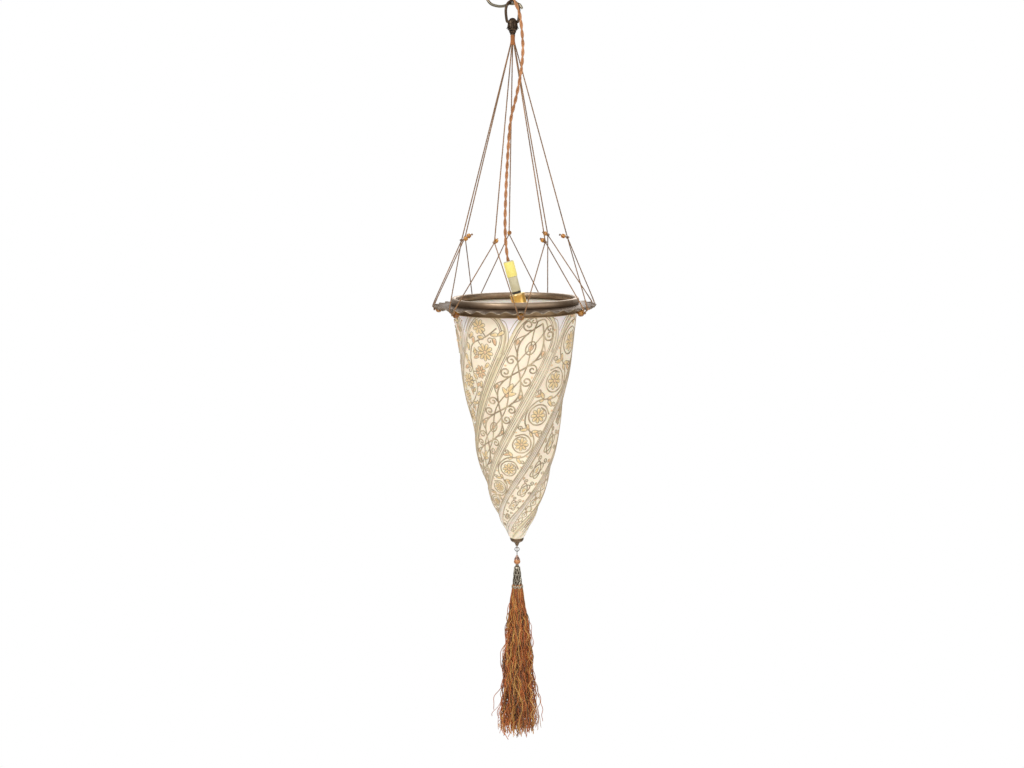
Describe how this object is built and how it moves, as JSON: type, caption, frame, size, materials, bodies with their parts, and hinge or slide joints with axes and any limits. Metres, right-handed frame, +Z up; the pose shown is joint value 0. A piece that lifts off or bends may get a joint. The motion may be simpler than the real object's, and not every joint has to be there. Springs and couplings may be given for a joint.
{
  "type": "glass pendant lamp",
  "caption": "Pendant lamp: a twisted, pointed painted-glass shade in a scalloped bronze rim, hung on silk cords from a ceiling hook, with a lampholder on a flex and a silk tassel.",
  "frame": {"origin": "middle of the ceiling plate's top face, where the lamp is fixed to the ceiling", "axes": "+Z up through the hook seat, the crown cap and the tip of the shade; -Y towards the viewer of the picture, +X to the viewer's right"},
  "size_m": [0.269, 0.2706, 1.3029],
  "materials": {
    "zinc_steel": "zinc plated, hidden under the rose",
    "polished_brass": "polished",
    "dark_bronze": "dark patinated bronze",
    "aged_bronze": "aged grey-brown bronze with worn edges",
    "black_plastic": "moulded",
    "silk_cord": "twisted silk cord, orange-brown",
    "amber_glass": "clear amber glass",
    "painted_glass": "satin ivory glass with painted gold and taupe ornament",
    "copper_glass": "copper-coloured glass",
    "nickel": "nickel plated",
    "flex_cloth": "cloth-braided twisted flex, orange-copper",
    "ivory_plastic": "satin",
    "yellow_paper": "blank pale yellow label",
    "bulb_glass": "clear",
    "tassel_silk": "silk strands, rust to gold"
  },
  "bodies": {
    "ceiling_fitting": {"ceiling_plate": "zinc_steel", "rose_cover": "polished_brass", "flex_bush": "black_plastic", "ceiling_hook": "polished_brass"},
    "ring": {"top_ring": "dark_bronze"},
    "lamp": {"crown_cap": "dark_bronze", "cord_whipping": "silk_cord", "hanging_cord_1": "silk_cord", "hanging_cord_2": "silk_cord", "hanging_cord_3": "silk_cord", "hanging_cord_4": "silk_cord", "hanging_cord_5": "silk_cord", "hanging_cord_6": "silk_cord", "hanging_cord_7": "silk_cord", "cord_fork_1": "silk_cord", "cord_fork_2": "silk_cord", "cord_fork_3": "silk_cord", "cord_fork_4": "silk_cord", "cord_fork_5": "silk_cord", "cord_fork_6": "silk_cord", "cord_fork_7": "silk_cord", "knot_bead_1": "amber_glass", "knot_bead_2": "amber_glass", "knot_bead_3": "amber_glass", "knot_bead_4": "amber_glass", "knot_bead_5": "amber_glass", "knot_bead_6": "amber_glass", "knot_bead_7": "amber_glass", "rim_bead_1": "amber_glass", "rim_bead_2": "amber_glass", "rim_bead_3": "amber_glass", "rim_bead_4": "amber_glass", "rim_bead_5": "amber_glass", "rim_bead_6": "amber_glass", "rim_bead_7": "amber_glass", "rim_ring": "aged_bronze", "scalloped_flange": "aged_bronze", "collar_band": "dark_bronze", "glass_shade": "painted_glass", "bottom_cup": "dark_bronze", "finial": "dark_bronze", "stem_nut": "polished_brass"},
    "lampholder": {"supply_flex": "flex_cloth", "cord_grip": "black_plastic", "holder_sleeve": "ivory_plastic", "blank_label": "yellow_paper", "holder_core": "black_plastic", "holder_shell": "polished_brass", "centre_contact": "polished_brass", "screw_shell": "polished_brass"},
    "bulb": {"bulb_cap": "nickel", "bulb_glass": "bulb_glass"},
    "jump_ring": {"jump_ring": "nickel"},
    "tassel": {"eye_pin": "nickel", "bead_cap": "aged_bronze", "tassel_cap": "aged_bronze", "tassel_skirt": "tassel_silk"},
    "drop_bead": {"drop_bead": "copper_glass"}
  },
  "joints": [
    {"name": "lamp_swing", "type": "hinge", "parent": "ceiling_fitting", "child": "ring", "pos_m": [0, 0, -0.082], "axis": [0.866, -0.5, 0], "range_deg": [-12, 12]},
    {"name": "cap_tilt", "type": "hinge", "parent": "ring", "child": "lamp", "pos_m": [0, 0, -0.1108], "axis": [0.9397, 0.342, 0], "range_deg": [-6, 6], "deforming": ["supply_flex"]},
    {"name": "holder_swing", "type": "hinge", "parent": "ceiling_fitting", "child": "lampholder", "pos_m": [0, 0, -0.082], "axis": [0.866, -0.5, 0], "range_deg": [-12, 12], "deforming": ["supply_flex"]},
    {"name": "bulb_turn", "type": "hinge", "parent": "lampholder", "child": "bulb", "pos_m": [-0.01038, -0.003, -0.49379], "axis": [0.2487, 0, -0.9686], "continuous": true},
    {"name": "jump_ring_swing", "type": "hinge", "parent": "lamp", "child": "jump_ring", "pos_m": [0, 0, -0.9766], "axis": [0, 1, 0], "range_deg": [-25, 25]},
    {"name": "tassel_swing", "type": "hinge", "parent": "jump_ring", "child": "tassel", "pos_m": [0, 0, -0.981], "axis": [1, 0, 0], "range_deg": [-25, 25]},
    {"name": "bead_spin", "type": "hinge", "parent": "tassel", "child": "drop_bead", "pos_m": [0, 0, -0.9992], "axis": [0, 0, 1], "continuous": true}
  ],
  "couplings": [
    {"joint": "holder_swing", "follows": "lamp_swing", "ratio": 1}
  ]
}
